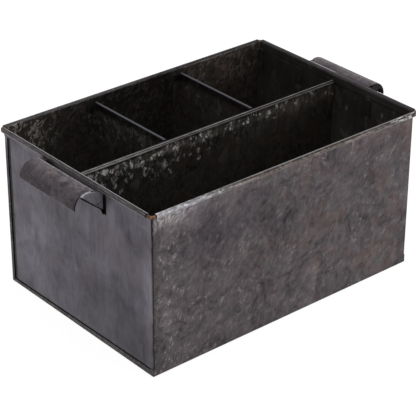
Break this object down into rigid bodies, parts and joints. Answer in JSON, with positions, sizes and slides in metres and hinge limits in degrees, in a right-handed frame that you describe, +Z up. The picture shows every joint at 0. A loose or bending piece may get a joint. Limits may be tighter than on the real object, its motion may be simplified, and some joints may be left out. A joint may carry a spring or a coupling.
{
  "type": "utensil caddy",
  "caption": "Rectangular galvanised sheet-metal utensil caddy with a long front compartment, divided rear compartments, a wire-rolled rim and strap handles at both ends.",
  "frame": {"origin": "middle of the underside of the base", "axes": "+X along the caddy from handle to handle, -Y to the front with the long compartment, +Z up"},
  "size_m": [0.3566, 0.2156, 0.1565],
  "materials": {
    "galvanised_body": "dark aged galvanised steel with a low-contrast spangle, satin",
    "galvanised_end": "dark aged galvanised steel, smooth, satin",
    "galvanised_divider": "dark aged galvanised steel with bright spangle flakes, satin",
    "coppered_wire": "copper-brown coated steel wire, semi-gloss",
    "handle_strap": "dark aged galvanised steel with a brownish patina, satin"
  },
  "bodies": {
    "root": {"body_wrap": "galvanised_body", "end_panel_left": "galvanised_end", "end_panel_right": "galvanised_end", "rim_wire": "coppered_wire", "long_divider": "galvanised_divider", "short_divider_left": "galvanised_divider", "short_divider_right": "galvanised_divider", "handle_left": "handle_strap", "handle_right": "handle_strap"}
  },
  "joints": []
}
